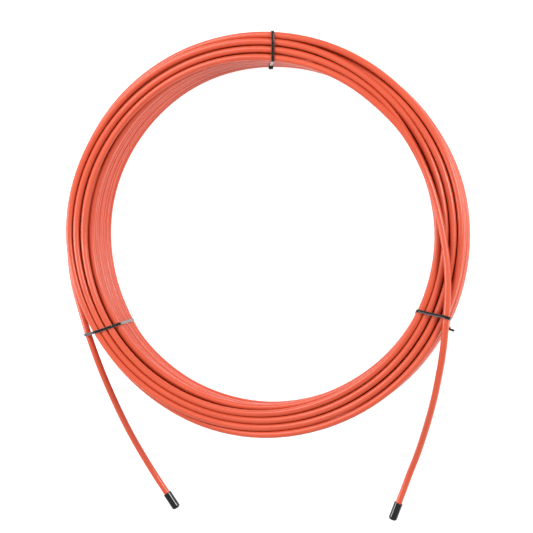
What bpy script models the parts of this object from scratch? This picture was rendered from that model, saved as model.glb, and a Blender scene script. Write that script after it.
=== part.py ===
"""Coil of push-pull rod for drawing cables through conduit, with its ties and end caps.

One length of rod, a fibreglass core in a round plastic jacket, lies wound flat on the floor
in ten levels of four turns. Both ends leave the coil and run towards -Y: the left one climbs
the outer wall, the right one crosses over the top of the turns, and both then come down to the
floor. Three cable ties hold the bundle, two of them with a loose end inside, and a push-on cap
covers each end.

Frame: +Z up, floor at z = 0, origin at the bottom centre of the whole object's box.
The coil's axis stands at COIL_CENTRE. Angles are in degrees, counterclockwise from +X
about that axis. Everything is built about the axis and parented to an empty that stands there.
"""

import math

import bmesh
import bpy
from mathutils import Vector

MM = 0.001

# The rod.
ROD_DIAMETER = 6.0 * MM
JACKET_WALL = 1.1 * MM
CORE_DIAMETER = 3.2 * MM
ROD_SIDES = 3  # bevel resolution of a tube, which gives ten sides

# The coil of turns, which stands for its outer shape.
COIL_CENTRE = (3.25 * MM, 39.1 * MM)
COIL_INNER_RADIUS = 152.9 * MM
COIL_OUTER_RADIUS = 178.4 * MM
COIL_HEIGHT = 61.5 * MM
COIL_STEPS = 96
CORNER_STEPS = 3

# Room between pieces that touch on the real thing.
CLEARANCE = 0.3 * MM
# A recess is cut this much nearer to the turns than the strap in it lies.
RECESS_MARGIN = 0.13 * MM
POCKET_CLEARANCE = 0.35 * MM

# Cable ties.
STRAP_WIDTH = 2.6 * MM
STRAP_THICKNESS = 1.0 * MM
STRAP_FLOOR_GAP = 0.05 * MM
HEAD_LENGTH = 4.6 * MM
HEAD_WIDTH = 4.4 * MM
HEAD_HEIGHT = 3.4 * MM
HEAD_SKIN = 0.35 * MM
STUB_THICKNESS = 1.1 * MM
STUB_WIDTH = 2.3 * MM
ARC_STEP = 22.5

# End caps.
CAP_LENGTH = 16.7 * MM
CAP_RADIUS = 4.0 * MM
CAP_NOSE_RADIUS = 2.3 * MM
CAP_SHOULDER = 2.4 * MM
CAP_BORE_RADIUS = 3.3 * MM
CAP_BORE_DEPTH = 14.0 * MM
CAP_STEPS = 24
ROD_END_GAP = 0.4 * MM

# A tube has a point every so many diameters along its route.
POINT_EVERY = 2.4

# Routes of the free ends, in millimetres from the coil's axis, from the coil outwards.
# The last point of each is the mouth of its cap.
LEFT_ROUTE = (
    (-59.6, 163.9, 4.35),
    (-82.0, 156.2, 4.6),
    (-104.2, 146.6, 6.0),
    (-125.3, 132.1, 9.3),
    (-143.5, 112.1, 14.0),
    (-159.3, 88.3, 19.6),
    (-171.1, 62.3, 25.2),
    (-178.8, 34.7, 30.2),
    (-182.0, 6.4, 34.5),
    (-180.7, -22.2, 38.0),
    (-175.9, -47.1, 41.2),
    (-168.5, -69.1, 44.6),
    (-160.5, -91.1, 47.4),
    (-154.0, -110.2, 46.1),
    (-147.8, -129.5, 41.6),
    (-141.6, -148.7, 34.8),
    (-135.1, -168.0, 26.9),
    (-127.8, -187.1, 19.0),
    (-119.2, -205.7, 12.1),
    (-109.3, -223.8, 7.4),
    (-98.1, -241.0, 5.4),
)
RIGHT_ROUTE = (
    (133.2, 80.2, 62.8),
    (140.5, 66.6, 64.2),
    (146.4, 54.0, 64.7),
    (152.0, 39.0, 64.8),
    (158.2, 16.0, 64.8),
    (162.3, -4.0, 64.8),
    (164.9, -24.0, 64.8),
    (165.8, -42.0, 64.8),
    (165.3, -58.0, 64.8),
    (164.1, -73.0, 64.6),
    (162.9, -88.0, 63.0),
    (160.2, -107.3, 58.4),
    (156.6, -124.9, 51.3),
    (152.3, -142.9, 42.4),
    (147.0, -161.3, 32.5),
    (141.0, -179.6, 22.8),
    (134.4, -198.0, 14.1),
    (127.9, -214.0, 8.9),
    (123.6, -225.5, 6.5),
    (117.6, -241.4, 5.3),
)

# Each tie lies in a sheet that crosses the bundle: its angle at the top middle of the bundle,
# how that angle changes outwards and upwards (degrees per millimetre), the centres of what it
# also holds, a loose end or a turn that stands out (radius and height in millimetres), where
# its head sits, and how much of its trimmed end stands out of the head.
TIES = (
    {
        "name": "cable_tie_top",
        "angle": 85.3,
        "skew": 0.028,
        "lean": -0.095,
        "holds": (),
        "head": (152.4, 24.0),
        "stub": 0.0,
    },
    {
        "name": "cable_tie_left",
        "angle": -148.8,
        "skew": -0.075,
        "lean": 0.01,
        "holds": ((183.9, 47.0), (185.0, 47.6)),
        "head": (184.0, 25.0),
        "stub": 3.0,
    },
    {
        "name": "cable_tie_right",
        "angle": -24.6,
        "skew": 0.057,
        "lean": 0.08,
        "holds": ((179.2, 64.9), (180.6, 64.9), (179.0, 31.0)),
        "head": (184.0, 16.0),
        "stub": 4.6,
    },
)
TIE_MIDDLE = (165.0, 61.0)

JACKET_ORANGE = (0.78, 0.13, 0.07, 1.0)
CORE_GREY = (0.62, 0.60, 0.52, 1.0)
TIE_BLACK = (0.012, 0.012, 0.013, 1.0)
CAP_BLACK = (0.008, 0.008, 0.009, 1.0)


def clear_scene():
    for obj in list(bpy.data.objects):
        bpy.data.objects.remove(obj, do_unlink=True)


def make_material(name, colour, roughness, metallic=0.0):
    material = bpy.data.materials.new(name)
    material.use_nodes = True
    shader = material.node_tree.nodes["Principled BSDF"]
    shader.inputs["Base Color"].default_value = colour
    shader.inputs["Roughness"].default_value = roughness
    shader.inputs["Metallic"].default_value = metallic
    return material


def add_object(name, data, parent, material=None):
    obj = bpy.data.objects.new(name, data)
    bpy.context.scene.collection.objects.link(obj)
    obj.parent = parent
    if material:
        obj.data.materials.append(material)
    return obj


def mesh_from(bm, name, smooth=True):
    """Turns a bmesh into a mesh with its faces pointing out, and rounds off its shading."""
    bmesh.ops.recalc_face_normals(bm, faces=bm.faces)
    mesh = bpy.data.meshes.new(name)
    bm.to_mesh(mesh)
    bm.free()
    if smooth:
        mesh.shade_smooth()
        mesh.set_sharp_from_angle(angle=math.radians(35))
    return mesh


def make_helper(obj):
    obj.hide_render = True
    obj.display_type = "WIRE"
    return obj


def add_boolean(obj, other, operation):
    modifier = obj.modifiers.new(f"{operation.lower()}_{other.name}", "BOOLEAN")
    modifier.operation = operation
    modifier.object = make_helper(other)


def turned_mesh(name, outline, steps, closed_outline):
    """Turns an outline of (radius, height) pairs about the Z axis into one closed body."""
    bm = bmesh.new()
    points = [bm.verts.new((radius, 0.0, height)) for radius, height in outline]
    for first, second in zip(points, points[1:]):
        bm.edges.new((first, second))
    if closed_outline:
        bm.edges.new((points[-1], points[0]))
    bmesh.ops.spin(
        bm,
        geom=bm.verts[:] + bm.edges[:],
        cent=(0.0, 0.0, 0.0),
        axis=(0.0, 0.0, 1.0),
        angle=math.tau,
        steps=steps,
    )
    bmesh.ops.remove_doubles(bm, verts=bm.verts[:], dist=1e-6)
    return mesh_from(bm, name)


def arc_points(centre, radius, start, end, steps):
    """Points on an arc, from one angle in degrees to another."""
    found = []
    for step in range(steps + 1):
        angle = math.radians(start + (end - start) * step / steps)
        found.append((centre[0] + radius * math.cos(angle), centre[1] + radius * math.sin(angle)))
    return found


def coil_outline():
    """Section of the bundle: a rectangle whose corners have the rod's own radius."""
    corner = ROD_DIAMETER / 2
    inner = COIL_INNER_RADIUS + corner
    outer = COIL_OUTER_RADIUS - corner
    low = corner
    high = COIL_HEIGHT - corner
    places = (((outer, low), -90), ((outer, high), 0), ((inner, high), 90), ((inner, low), 180))
    outline = []
    for centre, start in places:
        outline += arc_points(centre, corner, start, start + 90, CORNER_STEPS)
    return outline


def spline_point(before, start, end, after, share):
    """A point between start and end on the smooth curve through all four."""
    squared = share * share
    cubed = squared * share
    return 0.5 * (
        2 * start
        + (end - before) * share
        + (2 * before - 5 * start + 4 * end - after) * squared
        + (3 * start - before - 3 * end + after) * cubed
    )


def smooth_route(route):
    """Evenly spaced points on a smooth curve through a route in millimetres, in metres."""
    points = [Vector(point) * MM for point in route]
    padded = [2 * points[0] - points[1], *points, 2 * points[-1] - points[-2]]
    fine = []
    for i in range(1, len(padded) - 2):
        for step in range(20):
            fine.append(spline_point(*padded[i - 1 : i + 3], step / 20))
    fine.append(points[-1])
    return evenly_spaced(fine, POINT_EVERY * ROD_DIAMETER)


def evenly_spaced(points, spacing):
    lengths = [0.0]
    for first, second in zip(points, points[1:]):
        lengths.append(lengths[-1] + (second - first).length)
    count = max(2, round(lengths[-1] / spacing))
    found = []
    i = 0
    for k in range(count + 1):
        target = lengths[-1] * k / count
        while i < len(points) - 2 and lengths[i + 1] < target:
            i += 1
        share = (target - lengths[i]) / (lengths[i + 1] - lengths[i])
        found.append(points[i].lerp(points[i + 1], share))
    return found


def free_end_route(route):
    """The rod's line from the coil to its cut end, which lies inside the cap."""
    points = smooth_route(route)
    outwards = (points[-1] - points[-2]).normalized()
    inside = CAP_BORE_DEPTH - ROD_END_GAP
    return [*points, points[-1] + outwards * inside], outwards


def tube_curve(name, points, diameter, filled):
    curve = bpy.data.curves.new(name, "CURVE")
    curve.dimensions = "3D"
    curve.twist_mode = "MINIMUM"
    curve.bevel_depth = diameter / 2
    curve.bevel_resolution = ROD_SIDES
    curve.use_fill_caps = filled
    spline = curve.splines.new("POLY")
    spline.points.add(len(points) - 1)
    for point, place in zip(spline.points, points):
        point.co = (*place, 1.0)
    return curve


def add_jacket(name, points, parent, material):
    """The jacket of a free end: a tube with an open bore for the core."""
    jacket = add_object(name, tube_curve(name, points, ROD_DIAMETER, False), parent, material)
    wall = jacket.modifiers.new("wall", "SOLIDIFY")
    wall.thickness = JACKET_WALL
    wall.offset = -1.0
    wall.use_rim = True
    return jacket


def add_core(name, points, parent, material):
    return add_object(name, tube_curve(name, points, CORE_DIAMETER, True), parent, material)


def add_pocket_cutter(name, points, parent):
    """A solid a little thicker and longer than a free end, which makes its way into the coil."""
    back = (points[0] - points[1]).normalized() * CLEARANCE
    curve = tube_curve(name, [points[0] + back, *points], ROD_DIAMETER + 2 * POCKET_CLEARANCE, True)
    guide = bpy.data.objects.new(name, curve)
    mesh = bpy.data.meshes.new_from_object(guide)
    bpy.data.objects.remove(guide)
    bm = bmesh.new()
    bm.from_mesh(mesh)
    bmesh.ops.remove_doubles(bm, verts=bm.verts[:], dist=1e-6)
    return add_object(name, mesh_from(bm, name, smooth=False), parent)


def held_centres(tie):
    """Centres of the rods round whose outside a strap is drawn, counterclockwise in section."""
    corner = ROD_DIAMETER / 2
    low = STRAP_FLOOR_GAP + STRAP_THICKNESS + CLEARANCE + corner
    high = COIL_HEIGHT - corner
    inner = COIL_INNER_RADIUS + corner
    outer = COIL_OUTER_RADIUS - corner
    corners = [(inner, low), (outer, low), (outer, high), (inner, high)]
    held = [(radius * MM, height * MM) for radius, height in tie["holds"]]
    return convex_hull(corners + held)


def convex_hull(points):
    """The points on the outside, counterclockwise."""
    ordered = sorted(set(points))
    halves = []
    for run in (ordered, ordered[::-1]):
        half = []
        for point in run:
            while len(half) > 1 and turn(half[-2], half[-1], point) <= 0:
                half.pop()
            half.append(point)
        halves.append(half[:-1])
    return halves[0] + halves[1]


def turn(first, second, third):
    """Positive where three points turn left."""
    ahead = (second[0] - first[0], second[1] - first[1])
    on = (third[0] - first[0], third[1] - first[1])
    return ahead[0] * on[1] - ahead[1] * on[0]


def outward_angle(first, second):
    """Direction, in degrees, that an edge of a counterclockwise outline faces."""
    return math.degrees(math.atan2(first[0] - second[0], second[1] - first[1]))


def loop_round(centres, offset):
    """Closed line that keeps one distance from the hull of the centres."""
    loop = []
    count = len(centres)
    for i, centre in enumerate(centres):
        start = outward_angle(centres[i - 1], centre)
        sweep = (outward_angle(centre, centres[(i + 1) % count]) - start) % 360
        steps = max(1, math.ceil(sweep / ARC_STEP))
        loop += arc_points(centre, offset, start, start + sweep, steps)
    return loop


def strap_line(tie, offset):
    """Section of a strap at one distance from the rods' centres."""
    return loop_round(held_centres(tie), offset)


def in_tie(tie, radius, height, across):
    """Place of a point of a tie's section, moved across the strap."""
    outwards = radius / MM - TIE_MIDDLE[0]
    upwards = height / MM - TIE_MIDDLE[1]
    angle = math.radians(tie["angle"] + tie["skew"] * outwards + tie["lean"] * upwards)
    return Vector(
        (
            radius * math.cos(angle) - across * math.sin(angle),
            radius * math.sin(angle) + across * math.cos(angle),
            height,
        )
    )


def band_mesh(name, tie, inside, outside, width):
    """A closed strap round the bundle, between two distances from the rods' centres."""
    bm = bmesh.new()
    rings = []
    for inner, outer in zip(strap_line(tie, inside), strap_line(tie, outside)):
        corners = ((inner, -1), (outer, -1), (outer, 1), (inner, 1))
        rings.append([bm.verts.new(in_tie(tie, *point, side * width / 2)) for point, side in corners])
    for first, second in zip(rings, rings[1:] + rings[:1]):
        for k in range(4):
            bm.faces.new((first[k - 1], first[k], second[k], second[k - 1]))
    return mesh_from(bm, name)


def nearest_on_loop(loop, target):
    """The loop's point nearest to a target, with the direction along the loop and the facing."""
    best = None
    for start, end in zip(loop, loop[1:] + loop[:1]):
        along = Vector((end[0] - start[0], end[1] - start[1]))
        if along.length < 1e-9:
            continue
        away = Vector((target[0] - start[0], target[1] - start[1]))
        share = min(1.0, max(0.0, away.dot(along) / along.length_squared))
        point = Vector(start) + along * share
        distance = (Vector(target) - point).length
        if best is None or distance < best[0]:
            best = (distance, point, along.normalized())
    _, point, along = best
    return point, along, Vector((along.y, -along.x))


def block_mesh(name, tie, at, along, facing, length, reach, width):
    """A block on a tie: length runs along the strap and reach is a span outwards from it."""
    bm = bmesh.new()
    corners = []
    for across in (-width / 2, width / 2):
        for run, out in ((-0.5, 0), (0.5, 0), (0.5, 1), (-0.5, 1)):
            place = at + along * (run * length) + facing * reach[out]
            corners.append(bm.verts.new(in_tie(tie, place.x, place.y, across)))
    bm.faces.new(corners[:4])
    bm.faces.new(corners[4:])
    for k in range(4):
        after = (k + 1) % 4
        bm.faces.new((corners[k], corners[after], corners[after + 4], corners[k + 4]))
    return mesh_from(bm, name, smooth=False)


def add_tie(tie, parent, material):
    """One cable tie: its strap drawn round the bundle, its locking head and its trimmed end."""
    inside = ROD_DIAMETER / 2 + CLEARANCE
    middle = inside + STRAP_THICKNESS / 2
    strap = band_mesh(tie["name"], tie, inside, inside + STRAP_THICKNESS, STRAP_WIDTH)
    strap = add_object(tie["name"], strap, parent, material)
    radius, height = tie["head"]
    at, along, facing = nearest_on_loop(strap_line(tie, middle), (radius * MM, height * MM))
    top = HEAD_HEIGHT - HEAD_SKIN
    name = tie["name"] + "_head"
    head = block_mesh(name, tie, at, along, facing, HEAD_LENGTH, (-HEAD_SKIN, top), HEAD_WIDTH)
    add_boolean(strap, add_object(name, head, parent), "UNION")
    if tie["stub"]:
        name = tie["name"] + "_stub"
        reach = (0.0, top + tie["stub"] * MM)
        stub = block_mesh(name, tie, at, along, facing, STUB_THICKNESS, reach, STUB_WIDTH)
        add_boolean(strap, add_object(name, stub, parent), "UNION")
    return strap


def add_coil(parent, material, pockets):
    """The bundle of turns, with a recess under each strap and a pocket for each free end."""
    mesh = turned_mesh("rod_coil", coil_outline(), COIL_STEPS, closed_outline=True)
    coil = add_object("rod_coil", mesh, parent, material)
    inside = ROD_DIAMETER / 2 + CLEARANCE - RECESS_MARGIN
    outside = ROD_DIAMETER / 2 + CLEARANCE + 2 * STRAP_THICKNESS
    for tie in TIES:
        name = tie["name"] + "_recess"
        cutter = band_mesh(name, tie, inside, outside, STRAP_WIDTH + 3 * CLEARANCE)
        add_boolean(coil, add_object(name, cutter, parent), "DIFFERENCE")
    for pocket in pockets:
        add_boolean(coil, pocket, "DIFFERENCE")
    return coil


def cap_outline():
    """Section of a cap whose mouth is at height 0 and whose closed nose is above it."""
    shoulder = CAP_LENGTH - CAP_SHOULDER
    drawn_in = CAP_RADIUS - CAP_NOSE_RADIUS
    return (
        (0.0, CAP_BORE_DEPTH),
        (CAP_BORE_RADIUS, CAP_BORE_DEPTH),
        (CAP_BORE_RADIUS, 0.0),
        (CAP_RADIUS, 0.0),
        (CAP_RADIUS, shoulder),
        (CAP_RADIUS - 0.3 * drawn_in, shoulder + 0.6 * CAP_SHOULDER),
        (CAP_NOSE_RADIUS, CAP_LENGTH),
        (0.0, CAP_LENGTH),
    )


def add_cap(name, mouth, outwards, parent, material):
    """A push-on cap. Its origin is in its mouth and its own Z axis is the way it pulls off."""
    mesh = turned_mesh(name, cap_outline(), CAP_STEPS, closed_outline=False)
    cap = add_object(name, mesh, parent, material)
    cap.location = mouth
    cap.rotation_mode = "QUATERNION"
    cap.rotation_quaternion = outwards.to_track_quat("Z", "Y")
    return cap


def add_free_end(side, route, parent, materials):
    """Jacket, core and cap of one free end. Returns the cutter for its pocket in the coil."""
    points, outwards = free_end_route(route)
    add_jacket(f"rod_end_{side}_jacket", points, parent, materials["jacket"])
    add_core(f"rod_end_{side}_core", points, parent, materials["core"])
    add_cap(f"end_cap_{side}", Vector(route[-1]) * MM, outwards, parent, materials["cap"])
    return add_pocket_cutter(f"rod_end_{side}_pocket", points, parent)


def build():
    clear_scene()
    axis = bpy.data.objects.new("coil_axis", None)
    bpy.context.scene.collection.objects.link(axis)
    axis.location = (*COIL_CENTRE, 0.0)
    materials = {
        "jacket": make_material("jacket_orange", JACKET_ORANGE, 0.42),
        "core": make_material("core_fibreglass", CORE_GREY, 0.6),
        "tie": make_material("tie_nylon", TIE_BLACK, 0.35),
        "cap": make_material("cap_vinyl", CAP_BLACK, 0.25),
    }
    pockets = [
        add_free_end("left", LEFT_ROUTE, axis, materials),
        add_free_end("right", RIGHT_ROUTE, axis, materials),
    ]
    add_coil(axis, materials["jacket"], pockets)
    for tie in TIES:
        add_tie(tie, axis, materials["tie"])


build()
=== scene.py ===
"""Looks of the coil of cable rod: the rod itself in one length, its ties, caps and cut ends.

The rod is one tube from cap to cap. Its line is worked out turn by turn: thirty-three turns
stacked four to a level, five and a half loose turns on top of them, and a free end at each side.
Angles are in degrees, counterclockwise from +X about the coil's axis. Lengths are millimetres
unless a comment says metres.
"""

import math

import bmesh
import bpy
import numpy as np
from mathutils import Matrix, Vector


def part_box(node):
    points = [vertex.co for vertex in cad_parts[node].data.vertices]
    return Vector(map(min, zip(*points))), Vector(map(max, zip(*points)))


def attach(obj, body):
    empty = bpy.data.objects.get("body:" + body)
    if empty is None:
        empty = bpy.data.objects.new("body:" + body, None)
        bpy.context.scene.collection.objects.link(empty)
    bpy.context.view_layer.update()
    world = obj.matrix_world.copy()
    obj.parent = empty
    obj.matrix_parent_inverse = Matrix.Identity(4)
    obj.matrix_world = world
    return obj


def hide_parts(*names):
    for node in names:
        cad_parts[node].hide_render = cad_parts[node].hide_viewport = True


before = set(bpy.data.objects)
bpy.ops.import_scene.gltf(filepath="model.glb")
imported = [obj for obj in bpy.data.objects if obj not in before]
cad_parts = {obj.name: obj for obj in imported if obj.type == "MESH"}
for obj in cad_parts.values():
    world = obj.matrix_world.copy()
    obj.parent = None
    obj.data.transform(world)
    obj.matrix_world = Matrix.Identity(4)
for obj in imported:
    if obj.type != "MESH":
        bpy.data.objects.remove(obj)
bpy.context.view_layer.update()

MM = 0.001
COIL_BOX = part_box("rod_coil")
AXIS = Vector(((COIL_BOX[0].x + COIL_BOX[1].x) / 2, (COIL_BOX[0].y + COIL_BOX[1].y) / 2, 0.0))

# The rod.
ROD_RADIUS = 3.0
CORE_RADIUS = 1.6
ROD_SIDES = 16
ROD_BEVEL = 0.25
CORE_HOLE_DEPTH = 2.0
RING_SPACING = 8.6

# The stacked turns: four columns, and levels that start above the straps under the coil.
COLUMNS = (156.2, 162.2, 168.3, 174.4)
FIRST_LEVEL = 4.35
LEVEL_PITCH = 6.017
FULL_LEVELS = 7
LAST_PLACES = ((0, 7), (0, 8), (1, 8), (1, 7), (2, 7), (3, 7))

# Turns are counted clockwise from LAP_START. The first turn starts at COIL_START.
LAP_START = 193.0
COIL_START = 110.0
TURN_STEP = 3.0

# Where the turns move over to their next places: the angles of the last shifts, from the end,
# how much further clockwise each shift before them lies, the angle that a shift takes, and the
# last turns that shift together, from the end.
LAST_SHIFTS = (160.0, 145.0, 81.2)
SHIFT_DELAY = 15.4
SHIFT_SPAN = 40.0
LAST_GROUPS = ((31, 32), (30,), (29,), (27, 28), (24, 25, 26))

# The middle levels stand out at the right: how far, where, and over what half width.
BULGE = 5.4
BULGE_MIDDLE = -15.0
BULGE_SPAN = 90.0
BULGE_LEVELS = 8.5

# Turns that are pushed inwards at the top: how far, where, and over what half width.
SQUEEZES = {28: (3.6, -95.0, 90.0), 29: (1.0, 150.0, 50.0), 30: (2.8, 150.0, 50.0)}

# Hand-wound turns aren't true circles. The waves that all share are (size, waves per turn,
# phase), and those that differ from level to level are (size, phase per level, waves per turn).
SHARED_WAVES = ((0.35, 3, 0.7), (0.2, 7, 0.0))
LEVEL_WAVES = ((0.25, 2.4, 2), (0.2, 4.1, -3))

# Routes of the free ends, from the coil outwards, about the coil's axis. The last point of
# each is the mouth of its cap.
LEFT_ROUTE = (
    (-59.6, 163.9, 4.35),
    (-82.0, 156.2, 4.6),
    (-104.2, 146.6, 6.0),
    (-125.3, 132.1, 9.3),
    (-143.5, 112.1, 14.0),
    (-159.3, 88.3, 19.6),
    (-171.1, 62.3, 25.2),
    (-178.8, 34.7, 30.2),
    (-182.0, 6.4, 34.5),
    (-180.7, -22.2, 38.0),
    (-175.9, -47.1, 41.2),
    (-168.5, -69.1, 44.6),
    (-160.5, -91.1, 47.4),
    (-154.0, -110.2, 46.1),
    (-147.8, -129.5, 41.6),
    (-141.6, -148.7, 34.8),
    (-135.1, -168.0, 26.9),
    (-127.8, -187.1, 19.0),
    (-119.2, -205.7, 12.1),
    (-109.3, -223.8, 7.4),
    (-98.1, -241.0, 5.4),
)
RIGHT_ROUTE = (
    (140.5, 66.6, 64.2),
    (146.4, 54.0, 64.7),
    (152.0, 39.0, 64.8),
    (158.2, 16.0, 64.8),
    (162.3, -4.0, 64.8),
    (164.9, -24.0, 64.8),
    (165.8, -42.0, 64.8),
    (165.3, -58.0, 64.8),
    (164.1, -73.0, 64.6),
    (162.9, -88.0, 63.0),
    (160.2, -107.3, 58.4),
    (156.6, -124.9, 51.3),
    (152.3, -142.9, 42.4),
    (147.0, -161.3, 32.5),
    (141.0, -179.6, 22.8),
    (134.4, -198.0, 14.1),
    (127.9, -214.0, 8.9),
    (123.6, -225.5, 6.5),
    (117.6, -241.4, 5.3),
)

# The loose turns on top, as (angle, radius, level) where their course changes.
TOP_TURNS = (
    # Climbs round the outside of the next turn, runs on top, and sinks to the level below.
    (
        (180, 175.5, 7.1), (165, 176.8, 7.4), (150, 176.9, 7.6), (135, 176.5, 7.9),
        (120, 175.9, 8.05), (105, 175.5, 8.4), (90, 175.5, 8.8), (75, 175.2, 9.0),
        (45, 175.6, 9.0), (30, 176.2, 9.0), (15, 176.4, 9.0), (0, 176.6, 9.0), (-30, 177.6, 9.0),
        (-60, 177.3, 9.0), (-80, 176.2, 9.0), (-95, 175.8, 8.7), (-110, 175.6, 8.3),
        (-125, 174.8, 8.0), (-150, 174.4, 8.0),
    ),
    # Lies at the outside of the level below, and moves in by one place at the near side.
    (
        (180, 174.2, 8.0), (165, 171.8, 8.0), (150, 171.5, 8.0), (135, 170.6, 8.0),
        (120, 170.0, 8.0), (105, 169.9, 8.0), (90, 171.9, 8.0), (75, 174.0, 8.0),
        (60, 174.4, 8.0), (0, 174.4, 8.0), (-50, 174.4, 8.0), (-65, 171.4, 8.0),
        (-80, 168.4, 8.0), (-110, 168.3, 8.0), (-150, 168.3, 8.0),
    ),
    # Climbs to the top at the right.
    (
        (180, 168.2, 8.0), (165, 165.8, 8.0), (150, 165.5, 8.0), (135, 164.6, 8.0),
        (120, 164.0, 8.0), (105, 163.9, 8.0), (90, 165.9, 8.0), (75, 168.0, 8.0),
        (60, 168.5, 8.2), (50, 168.9, 8.55), (40, 169.2, 8.85), (30, 169.3, 9.0), (0, 169.8, 9.0),
        (-30, 170.6, 9.0), (-60, 170.5, 9.0), (-90, 169.7, 9.0), (-120, 171.0, 9.0),
        (-150, 173.0, 9.0),
    ),
    # Three turns that wind inwards on the top.
    (
        (180, 175.1, 9.0), (150, 173.8, 9.0), (130, 172.8, 9.0), (110, 170.9, 9.0),
        (90, 169.7, 9.0), (75, 168.2, 9.0), (60, 166.1, 9.0), (45, 164.3, 9.0), (30, 163.2, 9.0),
        (0, 162.9, 9.0), (-30, 163.5, 9.0), (-60, 163.7, 9.0), (-90, 163.5, 9.0),
        (-120, 165.0, 9.0), (-150, 167.0, 9.0),
    ),
    (
        (180, 168.4, 9.0), (150, 167.0, 9.0), (120, 164.2, 9.0), (90, 162.9, 9.0),
        (65, 160.2, 9.0), (45, 158.2, 9.0), (30, 155.6, 9.0), (12, 155.6, 9.0), (0, 156.6, 9.0),
        (-30, 157.2, 9.0), (-60, 157.0, 9.0), (-90, 157.3, 9.0), (-120, 159.0, 9.0),
        (-150, 160.4, 9.0),
    ),
    (
        (180, 161.0, 9.0), (150, 159.6, 9.0), (120, 157.5, 9.0), (90, 155.9, 9.0),
        (75, 154.5, 9.0), (60, 153.6, 9.2), (45, 153.6, 9.7), (35, 155.0, 9.93),
    ),
)

# Caps. The lip is how much the rolled mouth stands out. A seed sets how uneven a cap is.
CAP_LENGTH = 16.7
CAP_RADIUS = 3.96
CAP_BORE_RADIUS = 3.06
CAP_BORE_DEPTH = 14.0
CAP_LIP = 0.04
CAP_NOSE_FILLET = 2.3
ROD_END_GAP = 0.4
CAP_STEPS = 64
CORE_STEPS = 24
CAP_SEEDS = {"left": 0.6, "right": 2.3}

# Cable ties. Each lies in a sheet: its angle at the middle of the top, and how that changes
# outwards and upwards, in degrees per millimetre. The head is at the strap's nearest place to a
# (radius, height), and the stub is how far the trimmed end stands out of it. The rods that a tie
# holds cross its sheet within TIE_REACH degrees of its angle.
TIES = {
    "top": {"angle": 85.3, "skew": 0.028, "lean": -0.095, "head": (152.4, 24.0), "stub": 0.4},
    "left": {"angle": -148.8, "skew": -0.075, "lean": 0.01, "head": (184.0, 25.0), "stub": 3.0},
    "right": {"angle": -24.6, "skew": 0.057, "lean": 0.08, "head": (184.0, 16.0), "stub": 4.6},
}
TIE_MIDDLE = (165.0, 61.0)
TIE_REACH = 20.0
STRAP_GAP = 0.12
STRAP_WIDTH = 2.6
STRAP_THICKNESS = 1.0
STRAP_EDGE = 0.22
STRAP_STEP = 2.4
STRAP_TURN = 9.0
HEAD_LENGTH = 4.6
HEAD_WIDTH = 4.4
HEAD_HEIGHT = 3.4
HEAD_SKIN = 0.35
STUB_WIDTH = 2.2
STUB_THICKNESS = 1.0
TOOTH_PITCH = 0.7

# Camera: it looks down the coil's axis, leaning towards +X. Its distance and its target's
# height are in metres.
VIEW_LEAN = 12.0
VIEW_DISTANCE = 1.21
VIEW_TARGET_HEIGHT = 0.0585
VIEW_LENS = 93.07
VIEW_SHIFT = (0.0154, -0.061)
SENSOR_WIDTH = 36.0

# Light, in metres and watts: each lamp's place, size and power, and the brightness around.
LAMPS = {
    "key": ((-0.65, 0.77, 1.12), 0.75, 11.0),
    "side": ((1.27, 0.44, 0.85), 0.5, 14.0),
    "left": ((-1.29, -0.06, 0.74), 0.5, 10.0),
}
SURROUNDINGS = 0.66
FLOOR_GLOW = 0.86
FLOOR_SIZE = 4.0
FLOOR_DROP = 0.2 * MM

# Colours.
ORANGE_DEEP = (0.58, 0.076, 0.031, 1.0)
ORANGE_BRIGHT = (0.65, 0.094, 0.040, 1.0)
ORANGE_LINE = (0.49, 0.058, 0.024, 1.0)
ORANGE_SCUFFED = (0.68, 0.16, 0.10, 1.0)
RESIN_DARK = (0.46, 0.43, 0.33, 1.0)
RESIN_PALE = (0.78, 0.76, 0.66, 1.0)
RESIN_GAP = (0.30, 0.27, 0.19, 1.0)
VINYL_BLACK = (0.004, 0.004, 0.0045, 1.0)
VINYL_WORN = (0.014, 0.014, 0.015, 1.0)
VINYL_DUST = (0.12, 0.115, 0.11, 1.0)
NYLON_BLACK = (0.003, 0.0035, 0.0035, 1.0)
NYLON_PALE = (0.008, 0.009, 0.009, 1.0)
# Painted highlight: the paler colour given to the ties' sharp edges.
NYLON_EDGE_HIGHLIGHT = (0.025, 0.027, 0.027, 1.0)
FLOOR_LOW = (0.50, 0.50, 0.50, 1.0)
FLOOR_HIGH = (0.52, 0.52, 0.52, 1.0)
WHITE = (1.0, 1.0, 1.0, 1.0)


# ---------------------------------------------------------------- lines


def smooth_values(places, values, wanted):
    """Values at the wanted places on a smooth curve through all the given ones."""
    places = np.asarray(places, float)
    values = np.asarray(values, float).reshape(len(places), -1)
    steps = np.diff(places)
    slopes = np.diff(values, axis=0) / steps[:, None]
    tangents = np.empty_like(values)
    tangents[0], tangents[-1] = slopes[0], slopes[-1]
    before, after = steps[:-1, None], steps[1:, None]
    tangents[1:-1] = (slopes[:-1] * after + slopes[1:] * before) / (before + after)
    i = np.clip(np.searchsorted(places, wanted, side="right") - 1, 0, len(steps) - 1)
    share = ((wanted - places[i]) / steps[i])[:, None]
    size = steps[i][:, None]
    return (
        values[i] * (1 + 2 * share) * (1 - share) ** 2
        + values[i + 1] * share**2 * (3 - 2 * share)
        + tangents[i] * size * share * (1 - share) ** 2
        + tangents[i + 1] * size * share**2 * (share - 1)
    )


def lengths_along(points):
    steps = np.linalg.norm(np.diff(points, axis=0), axis=1)
    return np.concatenate([[0.0], np.cumsum(steps)])


def resampled(points, spacing):
    """Points at an even spacing on a smooth curve through the given points."""
    along = lengths_along(points)
    count = max(2, round(along[-1] / spacing))
    return smooth_values(along, points, np.linspace(0.0, along[-1], count + 1))


def smoothstep(share):
    share = np.clip(share, 0.0, 1.0)
    return share * share * (3 - 2 * share)


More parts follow.
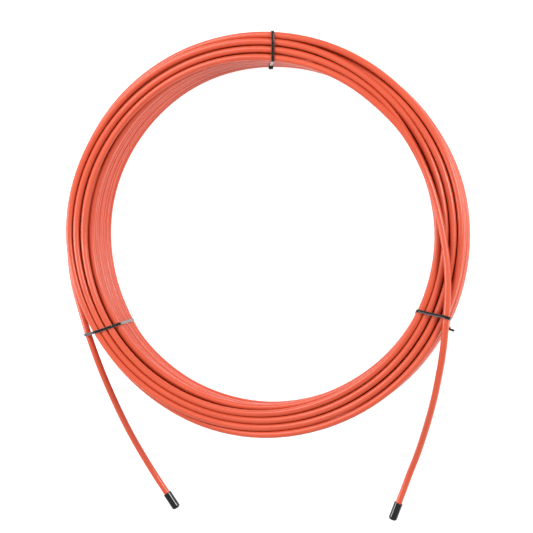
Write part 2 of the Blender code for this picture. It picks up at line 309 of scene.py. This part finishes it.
def bell(angle, middle, half_width):
    """1 at the middle, falling smoothly to 0 at half_width either side."""
    off = np.abs((angle - middle + 180) % 360 - 180)
    return np.cos(np.clip(off / half_width, 0, 1) * math.pi / 2) ** 2


def stacked_places():
    """The (column, level) of each stacked turn in the order in which the rod runs."""
    places = []
    for level in range(FULL_LEVELS):
        columns = range(4) if level % 2 else range(3, -1, -1)
        places += [(column, level) for column in columns]
    return [*places, *LAST_PLACES]


def shift_angles(places):
    """The angle at which each stacked turn moves over to its next place.

    The places above empty first, so the shifts follow each other clockwise from the last
    turn back to the first, and turns that move side by side do it together.
    """
    groups = list(LAST_GROUPS)
    for level in range(FULL_LEVELS - 2, -1, -1):
        last = 4 * level + 3
        groups += [(last,), (last - 3, last - 2, last - 1)]
    angles = {}
    for step, group in enumerate(groups):
        if step < len(LAST_SHIFTS):
            angle = LAST_SHIFTS[step]
        else:
            angle -= SHIFT_DELAY
        angles.update({turn: angle for turn in group})
    return [angles[turn] for turn in range(len(places) - 1)]


def stacked_turns():
    """(clockwise angle, radius, level) along all stacked turns."""
    places = stacked_places()
    radii = np.interp([column for column, _ in places], range(4), COLUMNS)
    levels = np.array([level for _, level in places], float)
    rows = []
    for turn, shift in enumerate(shift_angles(places)):
        clockwise = np.arange(0.0, 360.0, TURN_STEP)
        share = smoothstep((clockwise - (LAP_START - shift)) / SHIFT_SPAN + 0.5)
        radius = radii[turn] + (radii[turn + 1] - radii[turn]) * share
        level = levels[turn] + (levels[turn + 1] - levels[turn]) * share
        if turn in SQUEEZES:
            inset, middle, half_width = SQUEEZES[turn]
            squeezed = inset * bell(LAP_START - clockwise, middle, half_width)
            radius = radius - squeezed * (level - FULL_LEVELS)
        rows.append(np.stack([turn * 360.0 + clockwise, radius, level], axis=1))
    rows = np.concatenate(rows)
    return rows[rows[:, 0] >= LAP_START - COIL_START]


def loose_turns(first_turn):
    """The same for the loose turns on top, from the chosen places on their course."""
    start = first_turn * 360.0
    rows = [(start, COLUMNS[3], 7.0)]
    for lap, course in enumerate(TOP_TURNS):
        for angle, radius, level in course:
            rows.append((start + lap * 360.0 + LAP_START - angle, radius, level))
    rows = np.array(rows)
    wanted = np.arange(start, rows[-1, 0], TURN_STEP)
    return np.column_stack([wanted, smooth_values(rows[:, 0], rows[:, 1:], wanted)])


def coil_points():
    """The line of all turns about the coil's axis."""
    stacked = stacked_turns()
    rows = np.concatenate([stacked, loose_turns(len(stacked_places()) - 1)])
    angle = LAP_START - rows[:, 0]
    level = rows[:, 2]
    height = FIRST_LEVEL + LEVEL_PITCH * level
    middle_levels = np.sin(np.clip(level / BULGE_LEVELS, 0, 1) * math.pi)
    radius = rows[:, 1] + BULGE * bell(angle, BULGE_MIDDLE, BULGE_SPAN) * middle_levels
    around = np.radians(angle)
    for size, waves, phase in SHARED_WAVES:
        radius = radius + size * np.sin(waves * around + phase)
    uneven = np.zeros_like(radius)
    for size, by_level, waves in LEVEL_WAVES:
        uneven += size * np.sin(by_level * level + waves * around)
    radius = radius + uneven * smoothstep(FULL_LEVELS - level)
    return np.stack([radius * np.cos(around), radius * np.sin(around), height], axis=1)


def free_end(route):
    """A free end's line as far as the rod's cut end inside the cap, and the cap's direction."""
    points = resampled(np.array(route), RING_SPACING)
    outwards = points[-1] - points[-2]
    outwards /= np.linalg.norm(outwards)
    return points, outwards


def rod_line():
    """The rod's whole line from the left cap to the right one, in metres, in the frame."""
    left, left_out = free_end(LEFT_ROUTE)
    right, right_out = free_end(RIGHT_ROUTE)
    line = resampled(np.concatenate([left[:0:-1], coil_points(), right]), RING_SPACING)
    inside = CAP_BORE_DEPTH - ROD_END_GAP
    start = [left[-1] + left_out * inside * share for share in (1.0, 0.5)]
    end = [right[-1] + right_out * inside * share for share in (0.5, 1.0)]
    whole = np.concatenate([start, line, end])
    ends = {"left": (left[-1], left_out), "right": (right[-1], right_out)}
    return whole * MM + np.array(AXIS), ends


# ---------------------------------------------------------------- materials


class Nodes:
    """Shorthands for building one material."""

    def __init__(self, name):
        self.material = bpy.data.materials.new(name)
        self.material.use_nodes = True
        self.tree = self.material.node_tree
        self.shader = self.tree.nodes["Principled BSDF"]

    def node(self, kind, inputs=None, **settings):
        made = self.tree.nodes.new(kind)
        for key, value in settings.items():
            setattr(made, key, value)
        for key, value in (inputs or {}).items():
            if isinstance(value, bpy.types.NodeSocket):
                self.tree.links.new(value, made.inputs[key])
            else:
                made.inputs[key].default_value = value
        return made

    def noise(self, vector, scale, detail=3.0, roughness=0.55):
        inputs = {"Vector": vector, "Scale": scale, "Detail": detail, "Roughness": roughness}
        return self.node("ShaderNodeTexNoise", inputs).outputs["Fac"]

    def ranged(self, value, low, high, from_low=0.3, from_high=0.7):
        inputs = {"Value": value, "From Min": from_low, "From Max": from_high}
        inputs.update({"To Min": low, "To Max": high})
        return self.node("ShaderNodeMapRange", inputs).outputs["Result"]

    def mixed(self, share, first, second):
        made = self.node("ShaderNodeMix", data_type="RGBA")
        for place, value in ((0, share), (6, first), (7, second)):
            socket = made.inputs[place]
            if isinstance(value, bpy.types.NodeSocket):
                self.tree.links.new(value, socket)
            else:
                socket.default_value = value
        return made.outputs[2]

    def stretched(self, vector, scale):
        return self.node("ShaderNodeMapping", {"Vector": vector, "Scale": scale}).outputs["Vector"]

    def bump(self, height, strength, distance, normal=None):
        inputs = {"Height": height, "Strength": strength, "Distance": distance}
        if normal:
            inputs["Normal"] = normal
        return self.node("ShaderNodeBump", inputs).outputs["Normal"]

    def added(self, first, second):
        return self.node("ShaderNodeMath", {0: first, 1: second}, operation="ADD").outputs[0]

    def times(self, first, second):
        return self.node("ShaderNodeMath", {0: first, 1: second}, operation="MULTIPLY").outputs[0]

    def set(self, **values):
        for key, value in values.items():
            socket = self.shader.inputs[key.replace("_", " ")]
            if isinstance(value, bpy.types.NodeSocket):
                self.tree.links.new(value, socket)
            else:
                socket.default_value = value


def jacket_material():
    """Extruded orange jacket: fine draw lines along the rod, faint cloudiness and scuffs.

    The attribute "along" holds the cosine and sine of the place round the rod, and the
    distance along it in metres, so that every pattern follows the rod.
    """
    m = Nodes("jacket_orange")
    along = m.node("ShaderNodeAttribute", attribute_name="along").outputs["Vector"]
    lines = m.noise(m.stretched(along, (7.0, 7.0, 2.5)), 3.0, 4.0, 0.7)
    clouds = m.noise(m.stretched(along, (0.6, 0.6, 22.0)), 1.0, 3.0)
    pebbles = m.noise(m.stretched(along, (5.0, 5.0, 900.0)), 1.4, 2.0)
    scuffs = m.noise(m.stretched(along, (3.0, 3.0, 60.0)), 2.0, 5.0, 0.75)
    scuffed = m.ranged(scuffs, 0.0, 1.0, 0.64, 0.78)
    body = m.mixed(m.ranged(clouds, 0.0, 1.0), ORANGE_DEEP, ORANGE_BRIGHT)
    lined = m.mixed(m.ranged(lines, 0.0, 0.35), body, ORANGE_LINE)
    colour = m.mixed(m.times(scuffed, 0.35), lined, ORANGE_SCUFFED)
    rough = m.added(m.ranged(clouds, 0.25, 0.33), m.times(scuffed, 0.12))
    ridges = m.bump(lines, 0.35, 0.00012)
    m.set(
        Base_Color=colour,
        Roughness=rough,
        Normal=m.bump(pebbles, 0.12, 0.00006, ridges),
        IOR=1.49,
    )
    return m.material


def core_material():
    """Sawn end of the glass-fibre core: pale resin with bundles of fibre ends."""
    m = Nodes("core_fibreglass")
    place = m.node("ShaderNodeTexCoord").outputs["Object"]
    fibres = m.noise(place, 9000.0, 2.0)
    bundles = m.noise(place, 1800.0, 2.0)
    colour = m.mixed(m.ranged(fibres, 0.0, 1.0), RESIN_DARK, RESIN_PALE)
    colour = m.mixed(m.ranged(bundles, 0.0, 0.4), colour, RESIN_GAP)
    m.set(Base_Color=colour, Roughness=m.ranged(fibres, 0.5, 0.75), Normal=m.bump(fibres, 0.5, 0.0001))
    return m.material


def cap_material():
    """Dipped black vinyl: glossy, with a slight orange peel and a little dust."""
    m = Nodes("cap_vinyl")
    place = m.node("ShaderNodeTexCoord").outputs["Object"]
    peel = m.noise(place, 900.0, 2.0)
    dust = m.noise(place, 2600.0, 4.0, 0.7)
    wear = m.ranged(m.noise(place, 320.0, 4.0, 0.65), 0.0, 1.0, 0.52, 0.72)
    colour = m.mixed(m.times(wear, 0.5), VINYL_BLACK, VINYL_WORN)
    colour = m.mixed(m.ranged(dust, 0.0, 0.12, 0.66, 0.8), colour, VINYL_DUST)
    rough = m.added(m.ranged(peel, 0.05, 0.09), m.times(wear, 0.05))
    m.set(
        Base_Color=colour,
        Roughness=rough,
        Normal=m.bump(peel, 0.05, 0.00012),
        IOR=1.52,
        Specular_IOR_Level=0.42,
    )
    return m.material


def tie_material():
    """Moulded black nylon: a fine grain, sharp edges painted paler as a highlight, and a pale bloom at a
    grazing view.
    """
    m = Nodes("tie_nylon")
    place = m.node("ShaderNodeTexCoord").outputs["Object"]
    grain = m.noise(place, 5200.0, 2.0)
    flow = m.noise(place, 700.0, 3.0)
    edges = m.node("ShaderNodeNewGeometry").outputs["Pointiness"]
    # Painted highlight: sharp edges, found by pointiness, are painted paler where they would catch the
    # light.
    edge_highlight = m.ranged(edges, 0.0, 0.5, 0.52, 0.62)
    colour = m.mixed(m.ranged(flow, 0.0, 1.0), NYLON_BLACK, NYLON_PALE)
    colour = m.mixed(edge_highlight, colour, NYLON_EDGE_HIGHLIGHT)
    m.set(
        Base_Color=colour,
        Roughness=m.ranged(flow, 0.16, 0.26),
        Normal=m.bump(grain, 0.1, 0.00006, m.bump(flow, 0.2, 0.0002)),
        IOR=1.53,
        Specular_IOR_Level=0.28,
        Sheen_Weight=1.0,
        Sheen_Roughness=0.3,
    )
    return m.material


def floor_material():
    """Plain pale floor with a slight glow, so that the coil's shadow on it stays faint."""
    m = Nodes("floor_pale")
    place = m.node("ShaderNodeTexCoord").outputs["Object"]
    tone = m.noise(place, 3.0, 2.0)
    m.set(
        Base_Color=m.mixed(m.ranged(tone, 0.0, 1.0), FLOOR_LOW, FLOOR_HIGH),
        Roughness=0.75,
        Emission_Color=WHITE,
        Emission_Strength=FLOOR_GLOW,
    )
    return m.material


# ---------------------------------------------------------------- meshes


def add_piece(name, mesh, material, body):
    mesh.materials.append(material)
    piece = bpy.data.objects.new(name, mesh)
    bpy.context.scene.collection.objects.link(piece)
    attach(piece, body)
    return piece


def mesh_from(bm, name, sharp=None):
    bmesh.ops.recalc_face_normals(bm, faces=bm.faces)
    mesh = bpy.data.meshes.new(name)
    bm.to_mesh(mesh)
    bm.free()
    mesh.shade_smooth()
    if sharp:
        mesh.set_sharp_from_angle(angle=math.radians(sharp))
    return mesh


def tube_rings(line, radius, sides):
    """Rings of points round a line, the first point of each at the lowest place."""
    tangents = np.gradient(line, axis=0)
    tangents /= np.linalg.norm(tangents, axis=1)[:, None]
    down = np.array([0.0, 0.0, -1.0]) + tangents * tangents[:, 2:3]
    down /= np.linalg.norm(down, axis=1)[:, None]
    aside = np.cross(tangents, down)
    around = np.arange(sides) * math.tau / sides
    downwards = np.cos(around)[None, :, None] * down[:, None]
    sideways = np.sin(around)[None, :, None] * aside[:, None]
    return line[:, None] + radius * (downwards + sideways), around


def rod_mesh(line):
    """The jacket: one tube, with a flat cut at each end and a shallow hole where the core is."""
    sides = ROD_SIDES
    radius = ROD_RADIUS * MM
    bevel = ROD_BEVEL * MM
    first, last = line[0] - line[1], line[-1] - line[-2]
    first, last = first / np.linalg.norm(first), last / np.linalg.norm(last)
    rings, around = tube_rings(line, radius, sides)
    along = lengths_along(line)
    core = CORE_RADIUS * MM

    def ring_at(centre, out, ring, size, push):
        return centre + (ring - centre) * (size / radius) + out * push

    def cut(centre, out, ring):
        """From the bevelled edge of the cut to the bottom of the hole in it."""
        return [
            ring_at(centre, out, ring, radius - bevel * 0.3, bevel * 0.7),
            ring_at(centre, out, ring, radius - bevel, bevel),
            ring_at(centre, out, ring, core, bevel),
            ring_at(centre, out, ring, core, -CORE_HOLE_DEPTH * MM),
        ]

    start = cut(line[0], first, rings[0])[::-1]
    end = cut(line[-1], last, rings[-1])
    all_rings = np.concatenate([start, rings, end])
    distance = np.concatenate([np.full(len(start), along[0]), along, np.full(len(end), along[-1])])
    count = len(all_rings)
    points = all_rings.reshape(-1, 3)
    i = np.arange(count - 1)[:, None] * sides
    k = np.arange(sides)[None, :]
    after = (k + 1) % sides
    quads = np.stack([i + k, i + after, i + sides + after, i + sides + k], axis=2).reshape(-1, 4)
    faces = quads.tolist()
    faces.append(list(range(sides))[::-1])
    faces.append(list(range((count - 1) * sides, count * sides)))
    mesh = bpy.data.meshes.new("rod")
    mesh.from_pydata(points.tolist(), [], faces)
    bm = bmesh.new()
    bm.from_mesh(mesh)
    bmesh.ops.recalc_face_normals(bm, faces=bm.faces)
    bm.to_mesh(mesh)
    bm.free()
    mesh.shade_smooth()
    mesh.set_sharp_from_angle(angle=math.radians(50))
    places = np.empty((count, sides, 3))
    places[:, :, 0] = np.cos(around)
    places[:, :, 1] = np.sin(around)
    places[:, :, 2] = distance[:, None]
    attribute = mesh.attributes.new("along", "FLOAT_VECTOR", "POINT")
    attribute.data.foreach_set("vector", places.astype(np.float32).ravel())
    return mesh


def turned(name, outline, steps, wobble=None):
    """Turns an outline of (radius, height) about the Z axis.

    wobble(radius, height, angle), if there is one, gives a point's own radius and height.
    """
    bm = bmesh.new()
    rings = []
    for radius, height in outline:
        if radius == 0:
            rings.append([bm.verts.new((0, 0, height * MM))])
            continue
        ring = []
        for k in range(steps):
            angle = math.tau * k / steps
            grown, lifted = wobble(radius, height, angle) if wobble else (radius, height)
            across, aside = grown * MM * math.cos(angle), grown * MM * math.sin(angle)
            ring.append(bm.verts.new((across, aside, lifted * MM)))
        rings.append(ring)
    for lower, upper in zip(rings, rings[1:]):
        for k in range(steps):
            after = (k + 1) % steps
            corners = [lower[k % len(lower)], lower[after % len(lower)]]
            corners += [upper[after % len(upper)], upper[k % len(upper)]]
            bm.faces.new(list(dict.fromkeys(corners)))
    return mesh_from(bm, name, sharp=60)


def rounded(corner, before, after, radius, steps=4):
    """Points of an arc-like fillet in a corner of an outline."""
    corner, before, after = Vector(corner), Vector(before), Vector(after)
    start = corner + (before - corner).normalized() * radius
    end = corner + (after - corner).normalized() * radius
    found = []
    for step in range(steps + 1):
        share = step / steps
        point = start * (1 - share) ** 2 + corner * 2 * share * (1 - share) + end * share**2
        found.append(tuple(point))
    return found


def cap_mesh(name, seed):
    """Dip-moulded cap: rounded shoulder, flat nose, rolled and slightly uneven mouth."""
    bore, body = CAP_BORE_RADIUS, CAP_RADIUS
    lip = body + CAP_LIP
    outline = [(0.0, CAP_BORE_DEPTH), (bore - 0.5, CAP_BORE_DEPTH)]
    outline += rounded((bore, CAP_BORE_DEPTH), outline[-1], (bore, 0.0), 0.4, 2)
    outline += [(bore, 6.0), (bore, 1.0)]
    outline += rounded((bore, 0.0), (bore, 1.0), (body, 0.0), 0.22, 3)
    outline += rounded((lip, 0.0), (bore, 0.0), (lip, 3.0), 0.3, 4)
    outline += [(body + 0.02, 1.4), (body - 0.05, 3.0), (body - 0.07, 6.0)]
    outline += [(body - 0.05, 9.5), (body - 0.02, 12.4), (body, 13.4)]
    outline += rounded((body, CAP_LENGTH), (body, 12.0), (0.0, CAP_LENGTH), CAP_NOSE_FILLET, 8)
    outline += [(1.2, CAP_LENGTH + 0.05), (0.0, CAP_LENGTH + 0.08)]

    def wobble(radius, height, angle):
        edge = max(0.0, 1.0 - height / 2.0)
        wave = math.sin(2 * angle + seed) + 0.5 * math.sin(3 * angle + 2 * seed)
        ripple = math.sin(0.9 * height + seed) * math.cos(angle + seed)
        return radius + 0.02 * ripple * (radius > CAP_BORE_RADIUS + 0.1), height + 0.16 * edge * wave

    return turned(name, outline, CAP_STEPS, wobble)


def core_mesh(name):
    """The sawn end of the core, standing a hair proud of its jacket."""
    radius = CORE_RADIUS - 0.02
    outline = [(0.0, -CORE_HOLE_DEPTH), (radius, -CORE_HOLE_DEPTH), (radius, 0.25)]
    outline += [(radius - 0.12, 0.36), (0.9, 0.38), (0.0, 0.35)]
    return turned(name, outline, CORE_STEPS)


# ---------------------------------------------------------------- ties


def turn_of(first, second, third):
    """Positive where three points turn left."""
    ahead = (second[0] - first[0], second[1] - first[1])
    on = (third[0] - first[0], third[1] - first[1])
    return ahead[0] * on[1] - ahead[1] * on[0]


def convex_hull(points):
    """The points on the outside, counterclockwise."""
    ordered = sorted(set(points))
    halves = []
    for run in (ordered, ordered[::-1]):
        half = []
        for point in run:
            while len(half) > 1 and turn_of(half[-2], half[-1], point) <= 0:
                half.pop()
            half.append(point)
        halves.append(half[:-1])
    return halves[0] + halves[1]


def tie_angle(tie, radius, height):
    outwards, upwards = radius - TIE_MIDDLE[0], height - TIE_MIDDLE[1]
    return tie["angle"] + tie["skew"] * outwards + tie["lean"] * upwards


def crossings(tie, line):
    """(radius, height) of each place where the rod passes through a tie's sheet."""
    local = (line - np.array(AXIS)) / MM
    radius = np.hypot(local[:, 0], local[:, 1])
    height = local[:, 2]
    angle = np.degrees(np.arctan2(local[:, 1], local[:, 0]))
    off = (angle - tie_angle(tie, radius, height) + 180) % 360 - 180
    passes = np.nonzero((off[:-1] * off[1:] <= 0) & (np.abs(off[:-1]) < TIE_REACH))[0]
    share = off[passes] / (off[passes] - off[passes + 1])
    found_radius = radius[passes] + (radius[passes + 1] - radius[passes]) * share
    found_height = height[passes] + (height[passes + 1] - height[passes]) * share
    return [(float(r), float(z)) for r, z in zip(found_radius, found_height)]


def outward_angle(first, second):
    return math.degrees(math.atan2(first[0] - second[0], second[1] - first[1]))


def strap_line(tie, line):
    """(point, facing) pairs round the rods that a tie holds, at the rods' own radius."""
    centres = convex_hull(crossings(tie, line))
    loop = []
    count = len(centres)
    for i, centre in enumerate(centres):
        start = outward_angle(centres[i - 1], centre)
        sweep = (outward_angle(centre, centres[(i + 1) % count]) - start) % 360
        steps = max(1, math.ceil(sweep / STRAP_TURN))
        for step in range(steps + 1):
            facing = math.radians(start + sweep * step / steps)
            normal = Vector((math.cos(facing), math.sin(facing)))
            loop.append((Vector(centre) + normal * ROD_RADIUS, normal))
    return filled_in(loop)


def filled_in(loop):
    """Adds points along the straight runs, two to three millimetres apart."""
    found = []
    for (point, normal), (after, facing) in zip(loop, loop[1:] + loop[:1]):
        found.append((point, normal))
        parts = int((after - point).length / STRAP_STEP)
        for part in range(1, parts):
            share = part / parts
            found.append((point.lerp(after, share), normal.lerp(facing, share).normalized()))
    return found


def in_tie(tie, point, across):
    """Place of a point (radius, height) of a tie's section, moved across the strap, in metres."""
    radius, height = point
    angle = math.radians(tie_angle(tie, radius, height))
    around = Vector((-math.sin(angle), math.cos(angle), 0)) * across
    return (Vector((radius * math.cos(angle), radius * math.sin(angle), height)) + around) * MM + AXIS


def strap_into(bm, tie, loop):
    """The strap: a closed band with rounded edges and a shallow rail along each side."""
    half = STRAP_WIDTH / 2
    low, high = STRAP_GAP, STRAP_GAP + STRAP_THICKNESS
    edge = STRAP_EDGE
    one_side = [
        (low, -half + edge),
        (low + edge, -half),
        (high - edge, -half),
        (high - 0.3 * edge, -half + 0.3 * edge),
        (high, -half + edge),
        (high - 0.1, -half + 2.4 * edge),
    ]
    section = one_side + [(out, -across) for out, across in one_side[::-1]]
    rings = []
    for point, normal in loop:
        places = [in_tie(tie, point + normal * out, across) for out, across in section]
        rings.append([bm.verts.new(place) for place in places])
    for first, second in zip(rings, rings[1:] + rings[:1]):
        for k in range(len(section)):
            bm.faces.new((first[k - 1], first[k], second[k], second[k - 1]))


def at_head(tie, loop):
    """Where the head sits on the strap: place, direction along the strap, and outward facing."""
    target = Vector(tie["head"])
    i = min(range(len(loop)), key=lambda i: (loop[i][0] - target).length)
    along = (loop[(i + 1) % len(loop)][0] - loop[i - 1][0]).normalized()
    point, normal = loop[i]
    place = point + normal * (STRAP_GAP + STRAP_THICKNESS / 2)
    return place, along, Vector((along.y, -along.x))


def slab_into(bm, tie, place, along, facing, layers):
    """A closed body of stacked rounded rectangles, each (reach, half length, half width, corner)."""
    rings = []
    for reach, half_length, half_width, corner in layers:
        ring = []
        for quarter in range(4):
            for step in range(4):
                angle = math.radians(90 * quarter + 30 * step)
                ahead, aside = (1 if quarter in (0, 3) else -1), (1 if quarter in (0, 1) else -1)
                run = (half_length - corner) * ahead + corner * math.cos(angle)
                across = (half_width - corner) * aside + corner * math.sin(angle)
                ring.append(bm.verts.new(in_tie(tie, place + along * run + facing * reach, across)))
        rings.append(ring)
    for lower, upper in zip(rings, rings[1:]):
        for k in range(len(lower)):
            bm.faces.new((lower[k - 1], lower[k], upper[k], upper[k - 1]))
    bm.faces.new(rings[0][::-1])
    bm.faces.new(rings[-1])


def head_into(bm, tie, loop):
    """The locking head, with the mouth that the strap's tip comes out of."""
    place, along, facing = at_head(tie, loop)
    top = HEAD_HEIGHT - HEAD_SKIN
    length, width = HEAD_LENGTH / 2, HEAD_WIDTH / 2
    mouth_length, mouth_width = STUB_THICKNESS / 2 + 0.45, STUB_WIDTH / 2 + 0.3
    layers = [
        (-HEAD_SKIN, length - 0.5, width - 0.5, 0.3),
        (-HEAD_SKIN + 0.15, length - 0.15, width - 0.15, 0.6),
        (0.3, length, width, 0.7),
        (top - 1.0, length, width, 0.8),
        (top - 0.35, length - 0.14, width - 0.1, 0.8),
        (top - 0.08, length - 0.42, width - 0.34, 0.7),
        (top, length - 0.75, width - 0.62, 0.5),
        (top, mouth_length + 0.12, mouth_width + 0.12, 0.3),
        (top - 0.18, mouth_length, mouth_width, 0.22),
        (top - 1.3, mouth_length - 0.1, mouth_width - 0.05, 0.2),
    ]
    slab_into(bm, tie, place, along, facing, layers)
    return place, along, facing, top


def stub_into(bm, tie, place, along, facing, top):
    """The trimmed end of the strap, toothed on one side, cut a little askew."""
    half = STUB_THICKNESS / 2
    width = STUB_WIDTH / 2
    reach = top - 1.25
    end = top + tie["stub"]
    profile = []
    while reach < end - TOOTH_PITCH:
        profile += [(reach, half - 0.22), (reach + TOOTH_PITCH * 0.85, half)]
        reach += TOOTH_PITCH
    profile += [(end - 0.15, half - 0.2)]
    rings = []
    for reach, side in profile:
        ring = []
        corners = ((-half, -width), (side, -width + 0.25), (side, width - 0.25), (-half, width))
        for run, across in corners:
            skew = 0.12 * across if reach > end - 0.2 else 0.0
            point = place + along * run + facing * (reach + skew)
            ring.append(bm.verts.new(in_tie(tie, point, across)))
        rings.append(ring)
    for lower, upper in zip(rings, rings[1:]):
        for k in range(4):
            bm.faces.new((lower[k - 1], lower[k], upper[k], upper[k - 1]))
    bm.faces.new(rings[0][::-1])
    bm.faces.new(rings[-1])


def add_tie(side, line, material):
    """One cable tie: strap, head and trimmed end, in one piece."""
    tie = TIES[side]
    loop = strap_line(tie, line)
    bm = bmesh.new()
    strap_into(bm, tie, loop)
    place, along, facing, top = head_into(bm, tie, loop)
    stub_into(bm, tie, place, along, facing, top)
    name = f"tie_{side}"
    piece = add_piece(name, mesh_from(bm, name, sharp=40), material, "coil")
    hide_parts(f"cable_tie_{side}")
    return piece


# ---------------------------------------------------------------- camera and light


def add_camera():
    lean = math.radians(VIEW_LEAN)
    back = Vector((math.sin(lean), 0.0, math.cos(lean)))
    right = Vector((math.cos(lean), 0.0, -math.sin(lean)))
    up = Vector((0.0, 1.0, 0.0))
    camera = bpy.data.objects.new("camera", bpy.data.cameras.new("camera"))
    bpy.context.scene.collection.objects.link(camera)
    target = AXIS + Vector((0, 0, VIEW_TARGET_HEIGHT))
    turn = Matrix((right, up, back)).transposed().to_4x4()
    camera.matrix_world = Matrix.Translation(target + back * VIEW_DISTANCE) @ turn
    camera.data.sensor_width = SENSOR_WIDTH
    camera.data.lens = VIEW_LENS
    camera.data.shift_x, camera.data.shift_y = VIEW_SHIFT
    camera.data.clip_start = 0.05
    camera.data.clip_end = 30.0
    bpy.context.scene.camera = camera


def add_light(name, place, size, power):
    """A round lamp that faces the frame's origin."""
    light = bpy.data.lights.new(name, "AREA")
    light.shape = "DISK"
    light.size = size
    light.energy = power
    lamp = bpy.data.objects.new(name, light)
    bpy.context.scene.collection.objects.link(lamp)
    lamp.location = place
    lamp.rotation_euler = (-Vector(place)).to_track_quat("-Z", "Y").to_euler()


def add_studio():
    """A pale floor, a big soft lamp at the upper left, a low one at each side, and pale surroundings."""
    bm = bmesh.new()
    bmesh.ops.create_grid(bm, x_segments=8, y_segments=8, size=FLOOR_SIZE)
    floor = bpy.data.objects.new("floor", mesh_from(bm, "floor"))
    floor.location = (0, 0, -FLOOR_DROP)
    floor.data.materials.append(floor_material())
    bpy.context.scene.collection.objects.link(floor)
    for name, (place, size, power) in LAMPS.items():
        add_light(name, place, size, power)
    world = bpy.data.worlds.new("studio")
    bpy.context.scene.world = world
    world.use_nodes = True
    background = world.node_tree.nodes["Background"]
    background.inputs["Color"].default_value = WHITE
    background.inputs["Strength"].default_value = SURROUNDINGS
    bpy.context.scene.view_settings.view_transform = "Standard"


# ---------------------------------------------------------------- making


def add_cap(side, mouth, outwards, material):
    name = f"cap_{side}_vinyl"
    mesh = cap_mesh(name, CAP_SEEDS[side])
    direction = Vector(outwards).to_track_quat("Z", "Y").to_matrix().to_4x4()
    mesh.transform(Matrix.Translation(Vector(mouth) * MM + AXIS) @ direction)
    piece = add_piece(name, mesh, material, f"cap_{side}")
    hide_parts(f"end_cap_{side}")
    return piece


def add_core(side, mouth, outwards, material):
    name = f"core_{side}_end"
    mesh = core_mesh(name)
    end = Vector(mouth) + Vector(outwards) * (CAP_BORE_DEPTH - ROD_END_GAP)
    direction = Vector(outwards).to_track_quat("Z", "Y").to_matrix().to_4x4()
    mesh.transform(Matrix.Translation(end * MM + AXIS) @ direction)
    piece = add_piece(name, mesh, material, "coil")
    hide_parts(f"rod_end_{side}_core")
    return piece


def main():
    add_camera()
    line, ends = rod_line()
    rod = add_piece("rod", rod_mesh(line), jacket_material(), "coil")
    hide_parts("rod_coil", "rod_end_left_jacket", "rod_end_right_jacket")
    cap_black, core_grey, tie_black = cap_material(), core_material(), tie_material()
    for side, (mouth, outwards) in ends.items():
        add_cap(side, mouth, outwards, cap_black)
        add_core(side, mouth, outwards, core_grey)
    for side in TIES:
        add_tie(side, line, tie_black)
    add_studio()


main()
